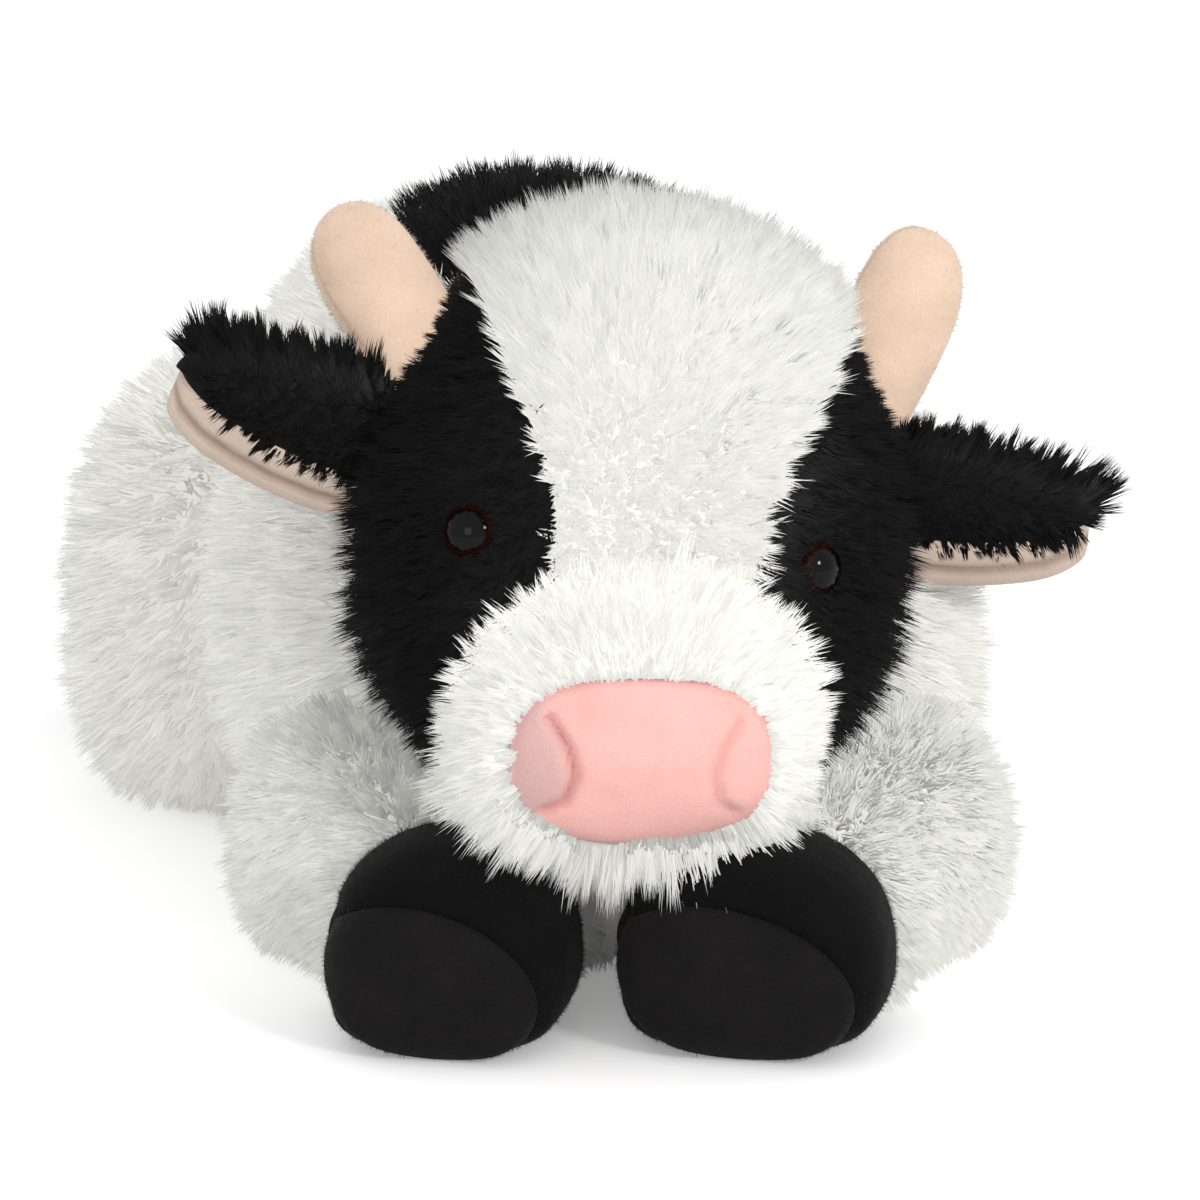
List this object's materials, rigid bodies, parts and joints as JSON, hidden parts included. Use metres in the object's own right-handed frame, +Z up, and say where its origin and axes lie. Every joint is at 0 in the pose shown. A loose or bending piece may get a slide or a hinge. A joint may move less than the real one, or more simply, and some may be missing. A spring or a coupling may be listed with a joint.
{
  "type": "plush cow",
  "caption": "Floppy plush cow lying on its belly with its chin on its front hooves; its head, ears, legs and tail move.",
  "frame": {"origin": "middle of the bounding box's base, on the surface that the cow lies on", "axes": "+Z up, the cow's face looks along -Y, +X is the cow's left"},
  "size_m": [0.2414, 0.3206, 0.1713],
  "materials": {
    "white_plush": "long white plush pile",
    "black_plush": "long black plush pile",
    "pink_velour": "short pink velour",
    "horn_velour": "short beige velour",
    "lining_velour": "short pale beige velour",
    "hoof_velour": "short black velour",
    "fibre_fill": "loose white polyester fibre",
    "pellet_cloth": "plain woven bag of plastic pellets",
    "eye_plastic": "polished black plastic",
    "washer_plastic": "moulded white plastic"
  },
  "bodies": {
    "torso": {"body_cover": "white_plush", "back_patch": "black_plush", "belly_panel": "white_plush", "pellet_bag": "pellet_cloth", "body_fill": "fibre_fill"},
    "neck": {"neck_fill": "fibre_fill"},
    "head": {"forehead_blaze": "white_plush", "right_cheek": "black_plush", "left_cheek": "black_plush", "muzzle_panel": "white_plush", "nose_pad": "pink_velour", "head_fill": "fibre_fill", "right_eye": "eye_plastic", "left_eye": "eye_plastic", "right_eye_washer": "washer_plastic", "left_eye_washer": "washer_plastic", "right_horn": "horn_velour", "left_horn": "horn_velour"},
    "right_ear": {"right_ear_back": "black_plush", "right_ear_lining": "lining_velour"},
    "left_ear": {"left_ear_back": "black_plush", "left_ear_lining": "lining_velour"},
    "right_foreleg": {"right_foreleg_sleeve": "white_plush", "right_fore_hoof": "hoof_velour", "right_fore_hoof_front": "hoof_velour", "right_fore_hoof_pellets": "pellet_cloth"},
    "left_foreleg": {"left_foreleg_sleeve": "white_plush", "left_fore_hoof": "hoof_velour", "left_fore_hoof_front": "hoof_velour", "left_fore_hoof_pellets": "pellet_cloth"},
    "right_hind_leg": {"right_hindleg_sleeve": "white_plush", "right_hind_hoof": "hoof_velour", "right_hind_hoof_front": "hoof_velour", "right_hind_hoof_pellets": "pellet_cloth"},
    "left_hind_leg": {"left_hindleg_sleeve": "white_plush", "left_hind_hoof": "hoof_velour", "left_hind_hoof_front": "hoof_velour", "left_hind_hoof_pellets": "pellet_cloth"},
    "tail": {"tail": "white_plush", "tail_tuft": "black_plush"}
  },
  "joints": [
    {"name": "neck_turn", "type": "hinge", "parent": "torso", "child": "neck", "pos_m": [0.01389, -0.08116, 0.112], "axis": [0, 0, 1], "range_deg": [-23, 5]},
    {"name": "head_nod", "type": "hinge", "parent": "neck", "child": "head", "pos_m": [0.01389, -0.08116, 0.112], "axis": [-1, 0, 0], "range_deg": [0, 20]},
    {"name": "right_foreleg_splay", "type": "hinge", "parent": "torso", "child": "right_foreleg", "pos_m": [-0.04011, -0.07416, 0], "axis": [0, 0, -1], "range_deg": [0, 45]},
    {"name": "left_foreleg_splay", "type": "hinge", "parent": "torso", "child": "left_foreleg", "pos_m": [0.06389, -0.07416, 0], "axis": [0, 0, 1], "range_deg": [0, 45]},
    {"name": "right_hind_leg_splay", "type": "hinge", "parent": "torso", "child": "right_hind_leg", "pos_m": [-0.08027, 0.04413, 0], "axis": [0, 0, 1], "range_deg": [0, 40]},
    {"name": "left_hind_leg_splay", "type": "hinge", "parent": "torso", "child": "left_hind_leg", "pos_m": [0.04213, 0.08155, 0], "axis": [0, 0, -1], "range_deg": [0, 40]},
    {"name": "right_ear_flap", "type": "hinge", "parent": "head", "child": "right_ear", "pos_m": [-0.04748, -0.08978, 0.12329], "axis": [-0.1049, 0.9945, -0.0052], "range_deg": [-10, 25]},
    {"name": "left_ear_flap", "type": "hinge", "parent": "head", "child": "left_ear", "pos_m": [0.07586, -0.07245, 0.10467], "axis": [-0.033, -0.9991, 0.0257], "range_deg": [-10, 25]},
    {"name": "tail_wag", "type": "hinge", "parent": "torso", "child": "tail", "pos_m": [-0.03275, 0.10574, 0.092], "axis": [0, 1, 0], "range_deg": [-30, 30]}
  ]
}
